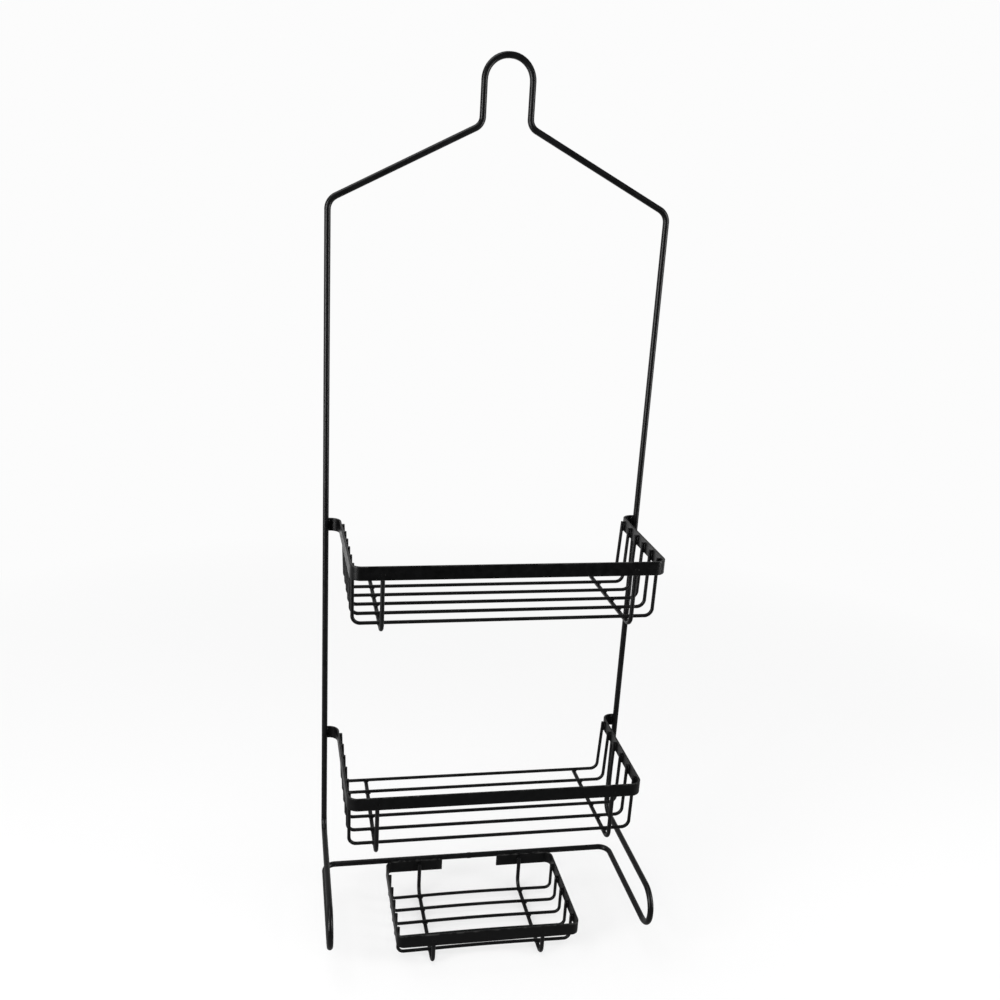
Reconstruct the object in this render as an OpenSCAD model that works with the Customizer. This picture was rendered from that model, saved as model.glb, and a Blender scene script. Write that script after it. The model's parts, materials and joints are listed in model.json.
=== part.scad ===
// Hanging shower caddy: one bent wire frame, two wire baskets, one soap dish.
// Millimetres, +Z up, front faces -Y. The origin is under the middle of the
// caddy's box, on the surface that the soap dish's cross wires rest on.

/* [Frame] */
// Width of the frame between its two side wires, centre to centre
frame_w = 260; // [220:5:320]
// Height of the top of the hook's centre line above the surface
frame_h = 700; // [640:10:820]
// Diameter of the frame wire
frame_d = 4.8; // [4:0.1:5.2]
// Height of the corners where the sloping shoulders begin
shoulder_z = 595; // [560:5:610]
// Height of the neck, where the shoulders turn up into the hook
neck_z = 652; // [640:1:660]
// Width of the hook, centre to centre
hook_w = 36; // [32:1:44]

/* [Legs] */
// Height of the crossbar and of the lower wire of each leg
leg_z = 32; // [28:1:38]
// Gap between the two wires of each leg, centre to centre
leg_gap = 33; // [26:1:40]
// How far the legs reach in front of the frame
leg_reach = 124; // [112:1:140]
// How far the crossbar stands in front of the frame
bar_y = 11.5; // [10:0.5:14]

/* [Baskets] */
// Height of the lower basket's rim
lower_z = 161.5; // [150:0.5:170]
// Height of the upper basket's rim
upper_z = 350; // [320:5:420]
// Outside width of the baskets at the front
basket_w = 235; // [200:1:236]
// How much each side of a basket spreads out towards the back
basket_flare = 2; // [0:0.5:2.5]
// Depth of the baskets, from the frame's centre line to the front
basket_depth = 109; // [96:1:116]
// Depth of the basket floor below the rim
basket_drop = 49.2; // [40:0.1:60]
// Distance between neighbouring floor wires
basket_pitch = 17.7; // [16:0.1:18]

/* [Strip and wires] */
// Height of the flat strip
strip_h = 10.6; // [9:0.1:11.5]
// Thickness of the flat strip
strip_t = 1.5; // [1.2:0.1:2]
// Diameter of the long floor wires
long_d = 2.7; // [2:0.1:3]
// Diameter of the cross wires
cross_d = 3.3; // [2.5:0.1:3.5]

/* [Soap dish] */
// Outside width of the soap dish
dish_w = 152; // [120:2:170]
// Depth of the soap dish, from its back tabs to its front
dish_depth = 96.5; // [90:0.5:100]
// Height of the soap dish's rim
dish_z = 32.5; // [30:0.5:34]
// Width of the gap between the two back tabs
dish_gap = 50; // [40:1:60]
// Distance between neighbouring floor wires of the soap dish
dish_pitch = 16.5; // [14:0.5:17.5]

/* [Hidden] */
$fn = 48;

fr = frame_d / 2;
lr = long_d / 2;
cr = cross_d / 2;
// Swelling of the wire and strip in their bends, and how far the straights seat
swell = 0.04;
seat = 0.4;
// The frame's plane, so that the box of the caddy is centred on the origin
y0 = (leg_reach - strip_t) / 2;
sx = frame_w / 2;
hx = hook_w / 2;
leg_r = leg_gap / 2 - 0.5;
hook_r = hx - 0.5;
// Bend radii on the centre lines
side_r = 10;
shoulder_r = 11;
neck_r = 9;
bar_r = 9;
band_r = 8;
long_r = 6;
cross_r = 8;
dish_band_r = 5.5;
dish_long_r = 5;
dish_back_r = 8;
// Ends of the wires below the top edge of the strip
wire_top = 2.5;
dish_top = 4;
// Basket walls
bx_front = basket_w / 2 - strip_t / 2;
bx_back = bx_front + basket_flare;
by_front = y0 - basket_depth + strip_t / 2;
by_back = y0 + fr + strip_t / 2;
side_slope = basket_flare / (by_back - by_front);
side_turn = atan(side_slope);
tab_x = sx + 1;
wire_foot = bx_front - strip_t / 2 - lr;
first_y = y0 - 6;
cross_x = 0.4 * basket_w;
// Soap dish walls
dx = dish_w / 2 - strip_t / 2;
dish_back = y0 - bar_y - fr;
dy_back = dish_back - strip_t / 2;
dy_front = dish_back - dish_depth + strip_t / 2;
dish_first = dish_back - 14;
dish_cross_x = 0.3 * dish_w;

steel = [0.07, 0.07, 0.075];
dark = [0.11, 0.11, 0.12];
grey = [0.20, 0.20, 0.21];

function unit(v) = v / norm(v);
// Angle turned at the corner b of the path a, b, c
function turn(a, b, c) =
  let (d = unit(b - a) * unit(c - b))
  acos(max(-1, min(1, d)));
// How much of the legs at a corner the bend of radius r takes up
function cut(a, b, c, r) = r * tan(turn(a, b, c) / 2);

// A straight round bar from p to q
module bar(p, q, r) {
  v = q - p;
  n = unit(v);
  u = abs(n[2]) > 0.9 ? unit(cross([1, 0, 0], n)) : unit(cross([0, 0, 1], n));
  w = cross(n, u);
  multmatrix([
    [u[0], w[0], n[0], p[0]],
    [u[1], w[1], n[1], p[1]],
    [u[2], w[2], n[2], p[2]],
    [0, 0, 0, 1]
  ])
  cylinder(h = norm(v), r = r);
}

// A bend at the corner b, with the radius br on the centre line
module bend(a, b, c, br, r) {
  d1 = unit(b - a);
  d2 = unit(c - b);
  n = unit(cross(d1, d2));
  s = b - d1 * cut(a, b, c, br);
  inward = cross(n, d1);
  ctr = s + inward * br;
  u = -inward;
  multmatrix([
    [u[0], d1[0], n[0], ctr[0]],
    [u[1], d1[1], n[1], ctr[1]],
    [u[2], d1[2], n[2], ctr[2]],
    [0, 0, 0, 1]
  ])
  rotate_extrude(angle = turn(a, b, c))
  translate([br, 0])
  circle(r = r);
}

// A bent wire through the points p, with the bend radius b[i] at the point p[i]
module wire(p, b, r) {
  n = len(p);
  for (i = [0:n - 2]) {
    c0 = i == 0 ? 0 : cut(p[i - 1], p[i], p[i + 1], b[i]);
    c1 = i == n - 2 ? 0 : cut(p[i], p[i + 1], p[i + 2], b[i + 1]);
    d = unit(p[i + 1] - p[i]);
    if (norm(p[i + 1] - p[i]) - c0 - c1 > 0.01) {
      bar(p[i] + d * c0, p[i + 1] - d * c1, r);
    }
  }
  for (i = [1:n - 2]) {
    bend(p[i - 1], p[i], p[i + 1], b[i], r);
  }
}

// A flat strip bent on edge along the plan points p, its top edge at z
module strip(p, b, z) {
  n = len(p);
  for (i = [0:n - 2]) {
    c0 = i == 0 ? 0 : cut(p[i - 1], p[i], p[i + 1], b[i]);
    c1 = i == n - 2 ? 0 : cut(p[i], p[i + 1], p[i + 2], b[i + 1]);
    v = p[i + 1] - p[i];
    d = unit(v);
    s = p[i] + d * c0;
    back = i == 0 ? 0 : seat;
    ahead = i == n - 2 ? 0 : seat;
    translate([s[0], s[1], z - strip_h])
    rotate([0, 0, atan2(d[1], d[0])])
    translate([-back, -strip_t / 2, 0])
    cube([norm(v) - c0 - c1 + back + ahead, strip_t, strip_h]);
  }
  for (i = [1:n - 2]) {
    a = p[i - 1];
    c = p[i + 1];
    d1 = unit(p[i] - a);
    d2 = unit(c - p[i]);
    side = sign(d1[0] * d2[1] - d1[1] * d2[0]);
    s = p[i] - d1 * cut(a, p[i], c, b[i]);
    inward = side * [-d1[1], d1[0]];
    ctr = s + inward * b[i];
    start = atan2(-inward[1], -inward[0]);
    ang = turn(a, p[i], c);
    translate([ctr[0], ctr[1], z - strip_h - swell])
    rotate([0, 0, side > 0 ? start : start - ang])
    rotate_extrude(angle = ang)
    translate([b[i] - strip_t / 2 - swell, 0])
    square([strip_t + 2 * swell, strip_h + 2 * swell]);
  }
}

// The rest of a chain of straights and bends, drawn from the end of the last
// one. Each step is [straight length, roll about the wire, bend angle, radius].
// A bent wire swells a little, and the straights end just inside the bends.
module chain(steps, i, r) {
  if (i < len(steps)) {
    s = steps[i];
    back = i == 0 ? 0 : seat;
    ahead = s[2] > 0 ? seat : 0;
    translate([0, 0, -back]) cylinder(h = s[0] + back + ahead, r = r);
    if (s[2] > 0) {
      translate([0, 0, s[0]])
      rotate([0, 0, s[1]]) {
        multmatrix([[-1, 0, 0, s[3]], [0, 0, 1, 0], [0, 1, 0, 0], [0, 0, 0, 1]])
        rotate_extrude(angle = s[2])
        translate([s[3], 0])
        circle(r = r + swell);
        translate([s[3], 0, 0])
        rotate([0, s[2], 0])
        translate([-s[3], 0, 0])
        chain(steps, i + 1, r);
      }
    }
  }
}

// Half of the frame, from the middle of the hook to the middle of the crossbar
module frame_half() {
  run = sx - hx;
  rise = neck_z - shoulder_z;
  shoulder_turn = atan2(run, rise);
  neck_cut = neck_r * tan(shoulder_turn / 2);
  shoulder_cut = shoulder_r * tan(shoulder_turn / 2);
  slope = sqrt(run * run + rise * rise) - neck_cut - shoulder_cut;
  zu = leg_z + leg_gap;
  translate([0, y0, frame_h])
  rotate([0, 90, 0])
  chain(
    [
      [hx - hook_r, 0, 90, hook_r],
      [frame_h - hook_r - neck_z - neck_cut, 180, shoulder_turn, neck_r],
      [slope, 180, shoulder_turn, shoulder_r],
      [shoulder_z - shoulder_cut - zu - side_r, -90, 90, side_r],
      [leg_reach - side_r - leg_r, 180, 90, leg_r],
      [leg_gap - 2 * leg_r, 0, 90, leg_r],
      [leg_reach - leg_r - bar_y - bar_r, -90, 90, bar_r],
      [sx - bar_r - 0.5, 0, 0, 0]
    ],
    0,
    fr
  );
}

// One closed loop of wire: crossbar, two legs, two sides, shoulders and hook,
// with its butt weld in the middle of the crossbar
module frame_wire() {
  color(steel) {
    frame_half();
    mirror([1, 0, 0]) frame_half();
    translate([-1.5, y0 - bar_y, leg_z])
    rotate([0, 90, 0])
    cylinder(h = 3, r = fr + 0.2);
  }
}

// The rim of a basket: open at the back, with two tabs behind the side wires
module basket_band(z) {
  color(dark)
  strip(
    [
      [-tab_x, by_back],
      [-bx_back, by_back],
      [-bx_front, by_front],
      [bx_front, by_front],
      [bx_back, by_back],
      [tab_x, by_back]
    ],
    [0, band_r, band_r, band_r, band_r, 0],
    z
  );
}

// Half of a long floor wire, from the middle of the floor to its end at the
// rim. The wires are all bent to one width, so the ones further back lean out.
module basket_wire_half(z, i) {
  y = first_y - (i - 1) * basket_pitch;
  wall = bx_front + (y - by_front) * side_slope;
  end_x = round(100 * (wall - (strip_t / 2 + lr) / cos(side_turn))) / 100;
  rise = basket_drop - wire_top;
  lean = atan((end_x - wire_foot) / rise);
  corner = long_r * tan((90 - lean) / 2);
  translate([0, y, z - basket_drop])
  rotate([0, 90, 0])
  chain(
    [
      [wire_foot - corner, 180, 90 - lean, long_r],
      [rise / cos(lean) - corner, 0, 0, 0]
    ],
    0,
    lr
  );
}

// One long floor wire of a basket, its ends turned up inside the rim
module basket_wire(z, i) {
  color(grey) {
    basket_wire_half(z, i);
    mirror([1, 0, 0]) basket_wire_half(z, i);
  }
}

// One cross wire under the long wires, turned up behind the front of the rim
module basket_cross(z, side) {
  zc = z - basket_drop - lr - cr;
  yf = by_front + strip_t / 2 + cr;
  color(dark)
  wire(
    [
      [side * cross_x, first_y + 2, zc],
      [side * cross_x, yf, zc],
      [side * cross_x, yf, z - wire_top]
    ],
    [0, cross_r, 0],
    cr
  );
}

// The rim of the soap dish, with two tabs along the crossbar
module dish_band() {
  g = dish_gap / 2;
  color(dark)
  strip(
    [
      [-g, dy_back],
      [-dx, dy_back],
      [-dx, dy_front],
      [dx, dy_front],
      [dx, dy_back],
      [g, dy_back]
    ],
    [0, dish_band_r, dish_band_r, dish_band_r, dish_band_r, 0],
    dish_z
  );
}

// One long floor wire of the soap dish
module dish_wire(i) {
  y = dish_first - (i - 1) * dish_pitch;
  x = dx - strip_t / 2 - lr;
  z = cross_d + lr;
  color(grey)
  wire(
    [
      [-x, y, dish_z - dish_top],
      [-x, y, z],
      [x, y, z],
      [x, y, dish_z - dish_top]
    ],
    [0, dish_long_r, dish_long_r, 0],
    lr
  );
}

// One cross wire of the soap dish, turned up at the back and at the front
module dish_cross(side) {
  yb = dy_back - strip_t / 2 - cr;
  yf = dy_front + strip_t / 2 + cr;
  color(dark)
  wire(
    [
      [side * dish_cross_x, yb, dish_z - wire_top],
      [side * dish_cross_x, yb, cr],
      [side * dish_cross_x, yf, cr],
      [side * dish_cross_x, yf, dish_z - wire_top]
    ],
    [0, dish_back_r, cross_r, 0],
    cr
  );
}

frame_wire();

basket_band(upper_z);  // upper_band
basket_cross(upper_z, -1);  // upper_cross_left
basket_cross(upper_z, 1);  // upper_cross_right
basket_wire(upper_z, 1);  // upper_wire_1
basket_wire(upper_z, 2);  // upper_wire_2
basket_wire(upper_z, 3);  // upper_wire_3
basket_wire(upper_z, 4);  // upper_wire_4
basket_wire(upper_z, 5);  // upper_wire_5
basket_wire(upper_z, 6);  // upper_wire_6

basket_band(lower_z);  // lower_band
basket_cross(lower_z, -1);  // lower_cross_left
basket_cross(lower_z, 1);  // lower_cross_right
basket_wire(lower_z, 1);  // lower_wire_1
basket_wire(lower_z, 2);  // lower_wire_2
basket_wire(lower_z, 3);  // lower_wire_3
basket_wire(lower_z, 4);  // lower_wire_4
basket_wire(lower_z, 5);  // lower_wire_5
basket_wire(lower_z, 6);  // lower_wire_6

dish_band();
dish_cross(-1);  // dish_cross_left
dish_cross(1);  // dish_cross_right
dish_wire(1);  // dish_wire_1
dish_wire(2);  // dish_wire_2
dish_wire(3);  // dish_wire_3
dish_wire(4);  // dish_wire_4
dish_wire(5);  // dish_wire_5
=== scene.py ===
import json
import math
import random

import bpy
from mathutils import Matrix, Vector


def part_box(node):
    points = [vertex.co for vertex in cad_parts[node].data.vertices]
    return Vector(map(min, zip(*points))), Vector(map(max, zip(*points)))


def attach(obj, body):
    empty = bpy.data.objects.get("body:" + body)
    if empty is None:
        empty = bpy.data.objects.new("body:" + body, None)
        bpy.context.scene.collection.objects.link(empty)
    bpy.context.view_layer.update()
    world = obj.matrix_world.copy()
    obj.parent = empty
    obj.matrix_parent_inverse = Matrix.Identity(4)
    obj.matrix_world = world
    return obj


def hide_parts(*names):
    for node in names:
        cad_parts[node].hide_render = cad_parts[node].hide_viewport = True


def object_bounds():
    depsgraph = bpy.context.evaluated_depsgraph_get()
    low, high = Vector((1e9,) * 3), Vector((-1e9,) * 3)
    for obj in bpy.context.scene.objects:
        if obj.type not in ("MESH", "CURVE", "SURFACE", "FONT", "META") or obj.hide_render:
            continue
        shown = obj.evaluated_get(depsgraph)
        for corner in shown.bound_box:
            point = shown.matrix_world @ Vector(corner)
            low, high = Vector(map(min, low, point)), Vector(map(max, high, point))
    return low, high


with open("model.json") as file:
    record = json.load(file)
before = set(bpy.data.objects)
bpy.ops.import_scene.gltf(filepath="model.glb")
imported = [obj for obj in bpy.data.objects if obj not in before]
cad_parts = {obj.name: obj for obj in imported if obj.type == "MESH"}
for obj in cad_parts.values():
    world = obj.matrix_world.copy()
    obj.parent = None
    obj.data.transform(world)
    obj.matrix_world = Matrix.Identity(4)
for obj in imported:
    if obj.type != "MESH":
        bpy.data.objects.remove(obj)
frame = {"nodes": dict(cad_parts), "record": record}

MM = 0.001
BODY = "root"
CAD_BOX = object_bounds()
rng = random.Random(20)

# Sizes of the stock that the caddy is made of
STRIP_T = 1.5 * MM
STRIP_EDGE = 0.32 * MM
BAND_BEND = 8.0 * MM
BEND_SWELL = 0.04 * MM
DISH_BEND = 5.5 * MM
DISH_TAB_END = 25.0 * MM
DISH_WIRE_BEND = 5.0 * MM
DISH_WIRE_CROWN = 0.9 * MM
FRAME_WIRE = 4.8 * MM
SIDE_WIRE_X = 130.0 * MM
CROSSBAR_Z = 32.0 * MM

BASKETS = ("upper", "lower")
SIDES = ("left", "right")
BASKET_WIRES = 6
DISH_WIRES = 5


# ---------------------------------------------------------------- paths


def rounded(points, radii, arc_step=0.13, run_step=0.006):
    """A polyline through points, with an arc of the given radius at each corner."""
    pts = [Vector(p) for p in points]
    out = [pts[0]]
    for i in range(1, len(pts) - 1):
        a, b, c = pts[i - 1], pts[i], pts[i + 1]
        u, v = (a - b).normalized(), (c - b).normalized()
        turn = math.pi - u.angle(v)
        cut = radii[i - 1] * math.tan(turn / 2)
        start, end = b + u * cut, b + v * cut
        centre = b + (u + v).normalized() * (radii[i - 1] / math.cos(turn / 2))
        steps = max(3, round(turn / arc_step))
        p, q = start - centre, end - centre
        for k in range(steps + 1):
            t = k / steps
            w = (p * math.sin((1 - t) * turn) + q * math.sin(t * turn)) / math.sin(turn)
            out.append(centre + w)
    out.append(pts[-1])
    path = [out[0]]
    for p in out[1:]:
        run = (p - path[-1]).length
        if run < 1e-7:
            continue
        parts = max(1, math.ceil(run / run_step))
        first = path[-1]
        path.extend(first.lerp(p, k / parts) for k in range(1, parts + 1))
    return path


def frames(path, up):
    """A side and an up vector at each point of the path, carried along without twist."""
    tangents = []
    for i in range(len(path)):
        a, b = path[max(0, i - 1)], path[min(len(path) - 1, i + 1)]
        tangents.append((b - a).normalized())
    side = tangents[0].cross(Vector(up)).normalized()
    rows = []
    for i, t in enumerate(tangents):
        if i:
            side = tangents[i - 1].rotation_difference(t) @ side
            side = (side - t * side.dot(t)).normalized()
        rows.append((t, side, side.cross(t).normalized()))
    return rows


def new_mesh(name, verts, faces, marks=None, slot=None, smooth=True):
    """A piece from its points and faces; marks is a value per point for the edge wear."""
    mesh = bpy.data.meshes.new(name)
    mesh.from_pydata([tuple(v) for v in verts], [], faces)
    mesh.validate()
    if marks is not None:
        layer = mesh.attributes.new("edge", "FLOAT", "POINT")
        layer.data.foreach_set("value", marks)
    mesh.polygons.foreach_set("use_smooth", [smooth] * len(mesh.polygons))
    obj = bpy.data.objects.new(name, mesh)
    bpy.context.scene.collection.objects.link(obj)
    if slot:
        mesh.materials.append(MATERIALS[slot])
        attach(obj, BODY)
    return obj


def sweep(name, path, section, up, slot, marks=None):
    """A closed solid: the section (side, up) carried along the path."""
    count = len(section)
    marks = marks or [0.0] * count
    verts, values = [], []
    for p, (_, side, above) in zip(path, frames(path, up)):
        for (x, y), mark in zip(section, marks):
            verts.append(p + side * x + above * y)
            values.append(mark)
    faces = []
    for i in range(len(path) - 1):
        for k in range(count):
            a, b = i * count + k, i * count + (k + 1) % count
            faces.append((a, b, b + count, a + count))
    last = (len(path) - 1) * count
    faces.append(tuple(range(count))[::-1])
    faces.append(tuple(last + k for k in range(count)))
    return new_mesh(name, verts, faces, values, slot)


def circle(radius, sides=20):
    angles = [2 * math.pi * k / sides for k in range(sides)]
    return [(radius * math.cos(a), radius * math.sin(a)) for a in angles]


def strip_section(thick, high, edge, steps=4):
    """A flat strip's section with rounded edges, and how near each point is to an edge."""
    out, marks = [], []
    corners = ((1, 1), (-1, 1), (-1, -1), (1, -1))
    for n, (sx, sy) in enumerate(corners):
        cx, cy = sx * (thick / 2 - edge), sy * (high / 2 - edge)
        for k in range(steps + 1):
            a = math.pi / 2 * (n + k / steps)
            out.append((cx + edge * math.cos(a), cy + edge * math.sin(a)))
            marks.append(1.0)
        nx, ny = corners[(n + 1) % 4]
        if n in (1, 3):
            for f in (0.1, 0.5, 0.9):
                y0, y1 = cy, ny * (high / 2 - edge)
                out.append((sx * thick / 2, y0 + (y1 - y0) * f))
                marks.append(0.0 if f == 0.5 else 0.15)
    return out, marks


# ---------------------------------------------------------------- materials


class Nodes:
    """Short calls for building a node tree."""

    def __init__(self, tree):
        self.tree = tree
        tree.nodes.clear()

    def add(self, kind, values=None, **settings):
        node = self.tree.nodes.new(kind)
        for key, value in settings.items():
            setattr(node, key, value)
        for key, value in (values or {}).items():
            socket = node.inputs[key]
            if hasattr(value, "is_output"):
                self.tree.links.new(value, socket)
            else:
                socket.default_value = value
        return node

    def noise(self, where, scale, detail=2.0, rough=0.5):
        values = {"Vector": where, "Scale": scale, "Detail": detail, "Roughness": rough}
        return self.add("ShaderNodeTexNoise", values).outputs["Fac"]

    def math(self, operation, a, b=0.0, clamp=False):
        node = self.add("ShaderNodeMath", {0: a, 1: b}, operation=operation, use_clamp=clamp)
        return node.outputs[0]

    def span(self, value, low, high, to_low, to_high):
        values = {0: value, 1: low, 2: high, 3: to_low, 4: to_high}
        return self.add("ShaderNodeMapRange", values, clamp=True).outputs[0]

    def mix(self, factor, a, b):
        node = self.add("ShaderNodeMix", data_type="RGBA")
        for socket, value in ((0, factor), (6, a), (7, b)):
            if hasattr(value, "is_output"):
                self.tree.links.new(value, node.inputs[socket])
            else:
                node.inputs[socket].default_value = value
        return node.outputs[2]


SHINE = 0.25
REFRACTION = 1.45
# Cells per metre of the noises in the coat
CLOUD_SCALE = 38.0
BLOTCH_SCALE = 210.0
DUST_SCALE = 1500.0
GRAIN_PER_PEEL = 3.6
# How much darker and lighter than its shade the coat gets in places
DARK_TONE = 0.70
LIGHT_TONE = 1.45
SPECK_COLOUR = (0.022, 0.022, 0.023, 1.0)
RUBBED_COLOUR = (0.030, 0.030, 0.029, 1.0)
PEEL_DEPTH = 0.02 * MM


def powder_coat(name, shade, rough, peel, speck, wear):
    """Semi-gloss black powder coat: orange peel, grain, specks, and worn edges."""
    material = bpy.data.materials.new(name)
    material.use_nodes = True
    n = Nodes(material.node_tree)
    where = n.add("ShaderNodeTexCoord").outputs["Object"]
    cloudy = n.noise(where, CLOUD_SCALE, 3.0, 0.6)
    blotch = n.noise(where, BLOTCH_SCALE, 3.0, 0.55)
    peel_noise = n.noise(where, peel, 1.5, 0.45)
    grain = n.noise(where, peel * GRAIN_PER_PEEL, 2.0, 0.6)
    dust = n.noise(where, DUST_SCALE, 1.0, 0.5)
    edge = n.add("ShaderNodeAttribute", attribute_name="edge").outputs["Fac"]

    light = tuple(c * LIGHT_TONE for c in shade) + (1.0,)
    dark = tuple(c * DARK_TONE for c in shade) + (1.0,)
    tone = n.math("ADD", n.math("MULTIPLY", cloudy, 0.55), n.math("MULTIPLY", blotch, 0.45))
    colour = n.mix(n.span(tone, 0.38, 0.64, 0.0, 1.0), dark, light)
    specks = n.span(dust, 0.74, 0.82, 0.0, speck)
    colour = n.mix(specks, colour, SPECK_COLOUR)
    rub = n.span(n.math("MULTIPLY", edge, blotch), 0.42, 0.64, 0.0, wear)
    colour = n.mix(rub, colour, RUBBED_COLOUR)

    finish = n.span(blotch, 0.30, 0.70, rough - 0.045, rough + 0.055)
    finish = n.math("ADD", finish, n.span(grain, 0.30, 0.70, -0.015, 0.015))
    finish = n.math("ADD", finish, n.math("MULTIPLY", rub, 0.10), clamp=True)

    height = n.math("ADD", peel_noise, n.math("MULTIPLY", grain, 0.14))
    height = n.math("SUBTRACT", height, n.math("MULTIPLY", rub, 0.30))
    bump = n.add(
        "ShaderNodeBump", {"Strength": 0.20, "Distance": PEEL_DEPTH, "Height": height}
    )

    shader = n.add(
        "ShaderNodeBsdfPrincipled",
        {
            "Base Color": colour,
            "Roughness": finish,
            "Normal": bump.outputs[0],
            "Metallic": 0.0,
        },
    )
    shader.inputs["IOR"].default_value = REFRACTION
    shader.inputs["Specular IOR Level"].default_value = SHINE
    n.add("ShaderNodeOutputMaterial", {"Surface": shader.outputs[0]})
    return material


# Shade, roughness, orange peel per metre, specks, wear at the edges
COATS = {
    "frame_coat": ((0.0034, 0.0034, 0.0036), 0.30, 430.0, 0.2, 0.5),
    "strip_coat": ((0.0017, 0.0017, 0.0018), 0.34, 360.0, 0.6, 0.7),
    "long_wire_coat": ((0.0034, 0.0034, 0.0036), 0.33, 520.0, 0.3, 0.5),
    "cross_wire_coat": ((0.0036, 0.0036, 0.0038), 0.34, 480.0, 0.3, 0.5),
}
MATERIALS = {name: powder_coat(name, *values) for name, values in COATS.items()}


# ---------------------------------------------------------------- camera


def photo_camera():
    """The view that the caddy's straight edges were matched with."""
    x, y, z = -0.16326, -0.70951, 0.60253
    yaw, pitch, roll = -0.17600, -0.30329, 0.04547
    focal, px, py, side = 1005.02, -46.11, 9.22, 1000.0
    sensor = 36.0
    data = bpy.data.cameras.new("camera")
    data.sensor_width = sensor
    data.lens = focal / side * sensor
    data.shift_x = -px / side
    data.shift_y = py / side
    data.clip_start = 0.01
    data.clip_end = 50.0
    level = math.cos(pitch)
    forward = Vector((-math.sin(yaw) * level, math.cos(yaw) * level, math.sin(pitch)))
    right = Vector((math.cos(yaw), math.sin(yaw), 0.0))
    up = right.cross(forward)
    tilted_right = right * math.cos(roll) + up * math.sin(roll)
    tilted_up = up * math.cos(roll) - right * math.sin(roll)
    turn = Matrix((tilted_right, tilted_up, -forward)).transposed()
    camera = bpy.data.objects.new("camera", data)
    camera.matrix_world = Matrix.Translation((x, y, z)) @ turn.to_4x4()
    bpy.context.scene.collection.objects.link(camera)
    bpy.context.scene.camera = camera


photo_camera()


# ---------------------------------------------------------------- CAD nodes that stay

SLOT_OF = {s["node"]: s["material_slot"] for s in frame["record"]["subparts"]}
for node_name, obj in frame["nodes"].items():
    obj.data.materials.clear()
    obj.data.materials.append(MATERIALS[SLOT_OF[node_name]])


# ---------------------------------------------------------------- strips


def mid(node):
    """The middle of a CAD node's box."""
    low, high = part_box(node)
    return (low + high) / 2


def rim_x(name, y):
    """Half the width of a basket's rim at y, to the middle of the strip."""
    first, last = f"{name}_wire_1", f"{name}_wire_{BASKET_WIRES}"
    first_x, last_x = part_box(first)[1].x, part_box(last)[1].x
    first_y, last_y = mid(first).y, mid(last).y
    slope = (first_x - last_x) / (first_y - last_y)
    return last_x + (y - last_y) * slope + STRIP_T / 2


def basket_strip(name):
    """The flat rim of a basket: tab, side, front, side, tab, with rounded edges."""
    low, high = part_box(name + "_band")
    back_y, front_y = high.y - STRIP_T / 2 - BEND_SWELL, low.y + STRIP_T / 2 + BEND_SWELL
    back_x, front_x = rim_x(name, back_y), rim_x(name, front_y)
    z = (low.z + high.z) / 2
    corners = [
        (-high.x, back_y), (-back_x, back_y), (-front_x, front_y),
        (front_x, front_y), (back_x, back_y), (high.x, back_y),
    ]
    path = rounded([(x, y, z) for x, y in corners], [BAND_BEND] * 4)
    section, marks = strip_section(STRIP_T, high.z - low.z, STRIP_EDGE)
    strip = sweep(name + "_rim", path, section, (0, 0, 1), "strip_coat", marks=marks)
    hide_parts(name + "_band")


def dish_strip():
    """The flat rim of the soap dish, open at the back between its two ends."""
    low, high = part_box("dish_band")
    inset = STRIP_T / 2 + BEND_SWELL
    side_x, back_y, front_y = high.x - inset, high.y - inset, low.y + inset
    z = (low.z + high.z) / 2
    corners = [
        (-DISH_TAB_END, back_y), (-side_x, back_y), (-side_x, front_y),
        (side_x, front_y), (side_x, back_y), (DISH_TAB_END, back_y),
    ]
    path = rounded([(x, y, z) for x, y in corners], [DISH_BEND] * 4)
    section, marks = strip_section(STRIP_T, high.z - low.z, STRIP_EDGE)
    strip = sweep("dish_rim", path, section, (0, 0, 1), "strip_coat", marks=marks)
    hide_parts("dish_band")


for basket in BASKETS:
    basket_strip(basket)
dish_strip()


# ---------------------------------------------------------------- dish wires, slightly crowned


def dish_wire(index):
    """A long wire of the dish: a U whose floor run bows up a little in the middle."""
    node = f"dish_wire_{index}"
    low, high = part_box(node)
    radius = (high.y - low.y) / 2
    y = (high.y + low.y) / 2
    x = high.x - radius
    floor_z = low.z + radius
    corners = [(-x, y, high.z), (-x, y, floor_z), (x, y, floor_z), (x, y, high.z)]
    path = rounded(corners, [DISH_WIRE_BEND] * 2, run_step=0.004)
    reach = x - DISH_WIRE_BEND
    for p in path:
        if p.z < floor_z + 1e-6 and abs(p.x) < reach:
            p.z += DISH_WIRE_CROWN * (1 - (p.x / reach) ** 2) ** 1.5
    wire = sweep(f"dish_rod_{index}", path, circle(radius), (0, 1, 0), "long_wire_coat")
    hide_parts(node)


for i in range(1, DISH_WIRES + 1):
    dish_wire(i)


# ---------------------------------------------------------------- welds


def mm(*sizes):
    return tuple(size * MM for size in sizes)


# Half sizes of the beads and marks along x, y and z
CROSSING_BEAD = mm(2.5, 2.3, 0.95)
SIDE_WEB = mm(0.75, 1.95, 4.3)
FRONT_WEB = mm(2.1, 0.8, 4.3)
SIDE_MARK = mm(0.10, 1.5, 1.5)
FRONT_MARK = mm(1.6, 0.10, 1.6)
DISH_CROSSING_BEAD = mm(2.5, 2.3, 1.05)
DISH_SIDE_WEB = mm(0.75, 1.9, 3.3)
DISH_END_WEB = mm(2.1, 0.8, 3.4)
BAR_TOP_BEAD = mm(3.4, 1.0, 0.8)
BAR_FRONT_BEAD = mm(3.0, 0.9, 1.0)
RIM_SEAM = mm(0.55, 0.13, 4.9)
# How far a web's middle stands off the strip's inner face
WEB_OFFSET = 0.15 * MM
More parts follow.
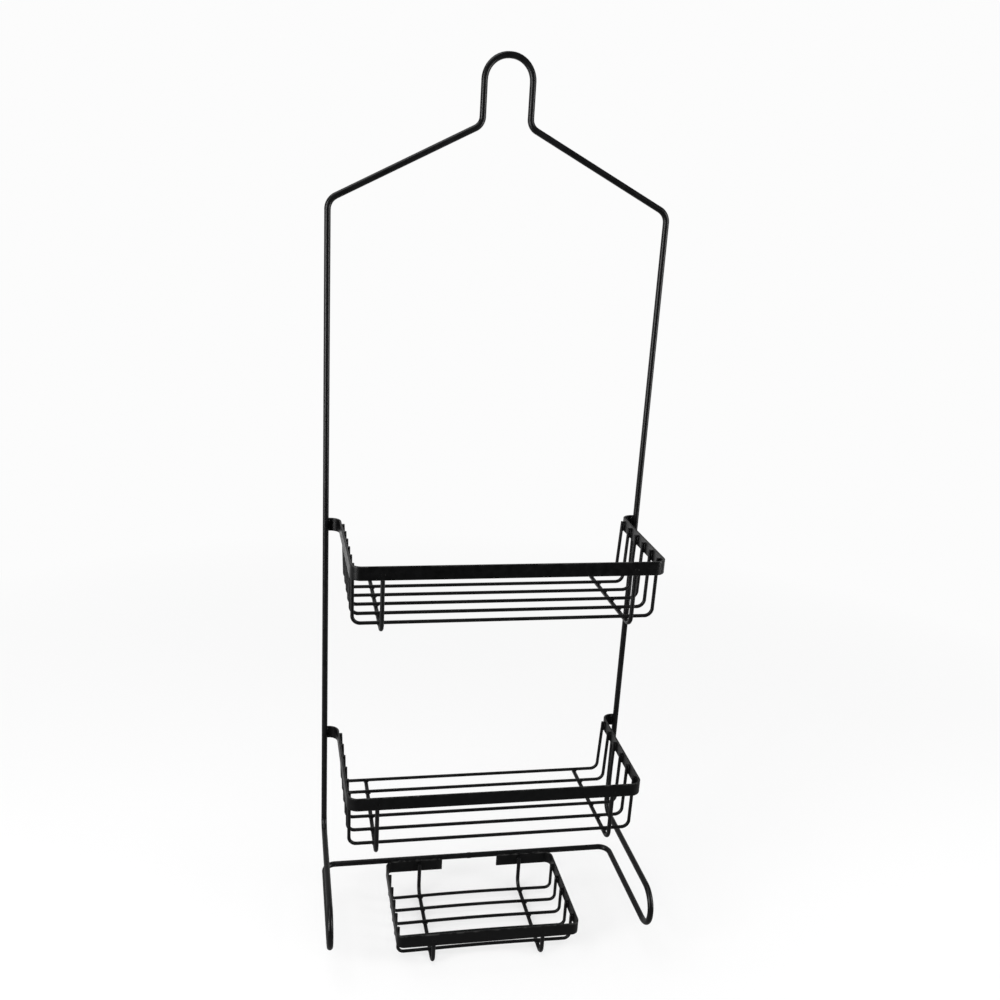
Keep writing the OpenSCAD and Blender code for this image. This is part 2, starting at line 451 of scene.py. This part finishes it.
# Height above the middle of a tab, and half height, of each bead on it
TAB_BEADS = ((-2.6, 2.9), (2.4, 2.7))
# Where the beads between the dish and the crossbar are, in mm from the middle
BAR_BEADS = (30, 46, 62)


def blobs(name, slot, items):
    """One piece of many small fused beads: (centre, radii), each a little uneven."""
    verts, faces, values = [], [], []
    around, down = 12, 7
    for centre, radii in items:
        base = len(verts)
        lumps = [rng.uniform(-0.07, 0.07) for _ in range(around)]
        size = rng.uniform(0.92, 1.06)
        verts.append(Vector(centre) + Vector((0, 0, radii[2] * size)))
        for j in range(1, down):
            a = math.pi * j / down
            for k in range(around):
                b = 2 * math.pi * k / around
                r = size * (1 + lumps[k] * math.sin(a))
                verts.append(Vector(centre) + Vector((
                    radii[0] * r * math.sin(a) * math.cos(b),
                    radii[1] * r * math.sin(a) * math.sin(b),
                    radii[2] * size * math.cos(a),
                )))
        verts.append(Vector(centre) - Vector((0, 0, radii[2] * size)))
        values.extend([0.0] * (len(verts) - base))
        bottom = len(verts) - 1
        for k in range(around):
            n = (k + 1) % around
            faces.append((base, base + 1 + k, base + 1 + n))
            for j in range(down - 2):
                p, q = base + 1 + j * around, base + 1 + (j + 1) * around
                faces.append((p + k, q + k, q + n, p + n))
            p = base + 1 + (down - 2) * around
            faces.append((p + k, bottom, p + n))
    return new_mesh(name, verts, faces, values, slot)


def basket_welds(name):
    """Beads where a basket's wires cross and meet its rim, and their marks outside."""
    band_low, band_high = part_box(name + "_band")
    cross, webs, marks = [], [], []
    for i in range(1, BASKET_WIRES + 1):
        low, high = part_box(f"{name}_wire_{i}")
        y, seat_z, inner_x = (low.y + high.y) / 2, low.z, high.x
        for s in SIDES:
            cross.append(((mid(f"{name}_cross_{s}").x, y, seat_z), CROSSING_BEAD))
        for sign in (-1, 1):
            z = (band_low.z + high.z) / 2
            webs.append(((sign * (inner_x - WEB_OFFSET), y, z), SIDE_WEB))
            marks.append(((sign * (inner_x + STRIP_T), y, z), SIDE_MARK))
    for s in SIDES:
        low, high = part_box(f"{name}_cross_{s}")
        x, z = (low.x + high.x) / 2, (band_low.z + high.z) / 2
        inner_y = band_low.y + BEND_SWELL + STRIP_T
        webs.append(((x, inner_y + WEB_OFFSET, z), FRONT_WEB))
        marks.append(((x, band_low.y + BEND_SWELL, z), FRONT_MARK))
    blobs(name + "_crossing_welds", "long_wire_coat", cross)
    blobs(name + "_rim_welds", "strip_coat", webs)
    blobs(name + "_weld_marks", "strip_coat", marks)


def tab_welds():
    """Fused metal between the side wires and the tabs of both baskets."""
    items = []
    for name in BASKETS:
        low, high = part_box(name + "_band")
        z = (low.z + high.z) / 2
        face_y = high.y - BEND_SWELL - STRIP_T
        for sign in (-1, 1):
            x = sign * (SIDE_WIRE_X - FRAME_WIRE / 4)
            for dz, half_height in TAB_BEADS:
                centre = (x, face_y - 0.25 * MM, z + dz * MM)
                items.append((centre, mm(2.7, 0.95, half_height)))
    blobs("tab_welds", "frame_coat", items)


def dish_welds():
    """Beads of the soap dish, its joint with the crossbar, and the seam in its rim."""
    band_low, band_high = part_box("dish_band")
    inner_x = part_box("dish_wire_1")[1].x
    cross, webs, marks = [], [], []
    for i in range(1, DISH_WIRES + 1):
        low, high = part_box(f"dish_wire_{i}")
        y = (low.y + high.y) / 2
        for s in SIDES:
            x = mid(f"dish_cross_{s}").x
            cross.append(((x, y, low.z + 0.1 * MM), DISH_CROSSING_BEAD))
        for sign in (-1, 1):
            z = (band_low.z + high.z) / 2
            webs.append(((sign * (inner_x - WEB_OFFSET), y, z), DISH_SIDE_WEB))
            marks.append(((sign * (inner_x + STRIP_T), y, z), SIDE_MARK))
    front_face = band_low.y + BEND_SWELL
    inner_front = band_low.y + BEND_SWELL + STRIP_T
    inner_back = band_high.y - BEND_SWELL - STRIP_T
    for s in SIDES:
        x = mid(f"dish_cross_{s}").x
        z = (band_low.z + band_high.z) / 2 - 1 * MM
        webs.append(((x, inner_front + WEB_OFFSET, z), DISH_END_WEB))
        webs.append(((x, inner_back - WEB_OFFSET, z), DISH_END_WEB))
        marks.append(((x, front_face, z), FRONT_MARK))
    for sign in (-1, 1):
        for distance in BAR_BEADS:
            x = sign * distance * MM
            webs.append(((x, band_high.y, CROSSBAR_Z + 0.35 * MM), BAR_TOP_BEAD))
            low_bead = (x, band_high.y + 0.3 * MM, CROSSBAR_Z - 1.5 * MM)
            webs.append((low_bead, BAR_FRONT_BEAD))
    blobs("dish_crossing_welds", "long_wire_coat", cross)
    blobs("dish_rim_welds", "strip_coat", webs)
    blobs("dish_weld_marks", "strip_coat", marks)
    seam = (-1.5 * MM, front_face, (band_low.z + band_high.z) / 2)
    blobs("dish_rim_seam", "strip_coat", [(seam, RIM_SEAM)])


for basket in BASKETS:
    basket_welds(basket)
tab_welds()
dish_welds()


# ---------------------------------------------------------------- stage and light

# The background's brightness, and how bright the lights alone make the floor
WHITE = 0.973
FLOOR_LIGHT = 1.22
# How much of the floor's brightness comes from the lights, so can be shadowed
SHADOW_DEPTH = 0.26
SOFT_FILL = 0.50
# From where to where the mirrored surroundings brighten, and their two levels
FLOOR_GLOW = (-1.0, 0.8, 0.02, 0.97)
WORLD_GLOW = (-0.4, 0.9, 0.03, 0.60)
# Where the floor fades into the even white, in metres from the middle
FADE_START = 0.35
FADE_END = 1.05
FLOOR_RINGS = (0.5, 1.0, 2.0, 4.0, 9.0)
FLOOR_SIDES = 48
FLOOR_GAP = 0.0001
# Name, place, target, size and power of each light
SOFTBOXES = (
    ("softbox_left", (-1.04, -0.62, 0.52), (0, 0, 0.40), (0.46, 1.00), 18.0),
    ("softbox_right", (1.06, -0.56, 0.52), (0, 0, 0.40), (0.42, 1.00), 13.0),
    ("softbox_top", (-0.55, 0.10, 1.80), (0, 0, 0.2), (1.2, 1.2), 12.0),
)


def reflected(n, forward, near, far, dim, bright):
    """Brightness of the surroundings in a reflection: dim in front, bright behind."""
    t = n.span(forward, near, far, 0.0, 1.0)
    return n.span(n.math("MULTIPLY", t, t), 0.0, 1.0, dim, bright)


def seen_as(n, mirrored):
    """Even white to the camera, mirrored in reflections, and a soft fill for all else."""
    path = n.add("ShaderNodeLightPath").outputs
    glossy = path["Is Glossy Ray"]
    other = n.math("MULTIPLY", n.math("SUBTRACT", 1.0, glossy), SOFT_FILL)
    indirect = n.math("ADD", other, n.math("MULTIPLY", mirrored, glossy))
    camera = path["Is Camera Ray"]
    hidden = n.math("MULTIPLY", indirect, n.math("SUBTRACT", 1.0, camera))
    return n.math("ADD", hidden, n.math("MULTIPLY", camera, WHITE)), camera


def pale_floor():
    """A pale floor with faint shadows that turns into an even white far from the caddy."""
    material = bpy.data.materials.new("pale_floor")
    material.use_nodes = True
    n = Nodes(material.node_tree)
    where = n.add("ShaderNodeTexCoord").outputs["Object"]
    forward = n.add("ShaderNodeSeparateXYZ", {0: where}).outputs["Y"]
    far = n.add("ShaderNodeVectorMath", {0: where}, operation="LENGTH").outputs["Value"]
    fade = n.span(far, FADE_START, FADE_END, 0.0, 1.0)
    glow, camera = seen_as(n, reflected(n, forward, *FLOOR_GLOW))
    base = n.math("SUBTRACT", glow, n.math("MULTIPLY", camera, FLOOR_LIGHT * SHADOW_DEPTH))
    shade = n.math("MULTIPLY", camera, SHADOW_DEPTH)
    shade_colour = n.mix(shade, (0.0, 0.0, 0.0, 1.0), (1.0, 1.0, 1.0, 1.0))
    lit = n.add("ShaderNodeBsdfDiffuse", {"Color": shade_colour})
    lift = n.add("ShaderNodeEmission", {"Color": (1, 1, 1, 1), "Strength": base})
    near = n.add("ShaderNodeAddShader", {0: lit.outputs[0], 1: lift.outputs[0]})
    away = n.add("ShaderNodeEmission", {"Color": (1, 1, 1, 1), "Strength": glow})
    shaders = {0: fade, 1: near.outputs[0], 2: away.outputs[0]}
    both = n.add("ShaderNodeMixShader", shaders)
    n.add("ShaderNodeOutputMaterial", {"Surface": both.outputs[0]})
    around, verts, faces = FLOOR_SIDES, [(0, 0, 0)], []
    for r in FLOOR_RINGS:
        for k in range(around):
            a = 2 * math.pi * k / around
            verts.append((r * math.cos(a), r * math.sin(a), 0.0))
    for k in range(around):
        n1 = (k + 1) % around
        faces.append((0, 1 + k, 1 + n1))
        for j in range(len(FLOOR_RINGS) - 1):
            p, q = 1 + j * around, 1 + (j + 1) * around
            faces.append((p + k, q + k, q + n1, p + n1))
    floor = new_mesh("floor", verts, faces, smooth=False)
    floor.location.z = CAD_BOX[0][2] - FLOOR_GAP
    floor.data.materials.append(material)


def surround():
    """White around the scene: even to the camera, darker in front for reflections."""
    world = bpy.data.worlds.new("studio")
    world.use_nodes = True
    n = Nodes(world.node_tree)
    where = n.add("ShaderNodeTexCoord").outputs["Generated"]
    forward = n.add("ShaderNodeSeparateXYZ", {0: where}).outputs["Y"]
    glow, _ = seen_as(n, reflected(n, forward, *WORLD_GLOW))
    background = n.add("ShaderNodeBackground", {"Color": (1, 1, 1, 1), "Strength": glow})
    n.add("ShaderNodeOutputWorld", {"Surface": background.outputs[0]})
    bpy.context.scene.world = world


def softbox(name, place, target, size, power):
    """A rectangular area light at place, turned to its target and hidden from view."""
    data = bpy.data.lights.new(name, "AREA")
    data.shape = "RECTANGLE"
    data.size, data.size_y = size
    data.energy = power
    light = bpy.data.objects.new(name, data)
    light.location = place
    aim = Vector(target) - Vector(place)
    light.rotation_euler = aim.to_track_quat("-Z", "Y").to_euler()
    light.visible_camera = False
    bpy.context.scene.collection.objects.link(light)


pale_floor()
surround()
for values in SOFTBOXES:
    softbox(*values)

scene = bpy.context.scene
scene.view_settings.view_transform = "Standard"
scene.view_settings.look = "None"
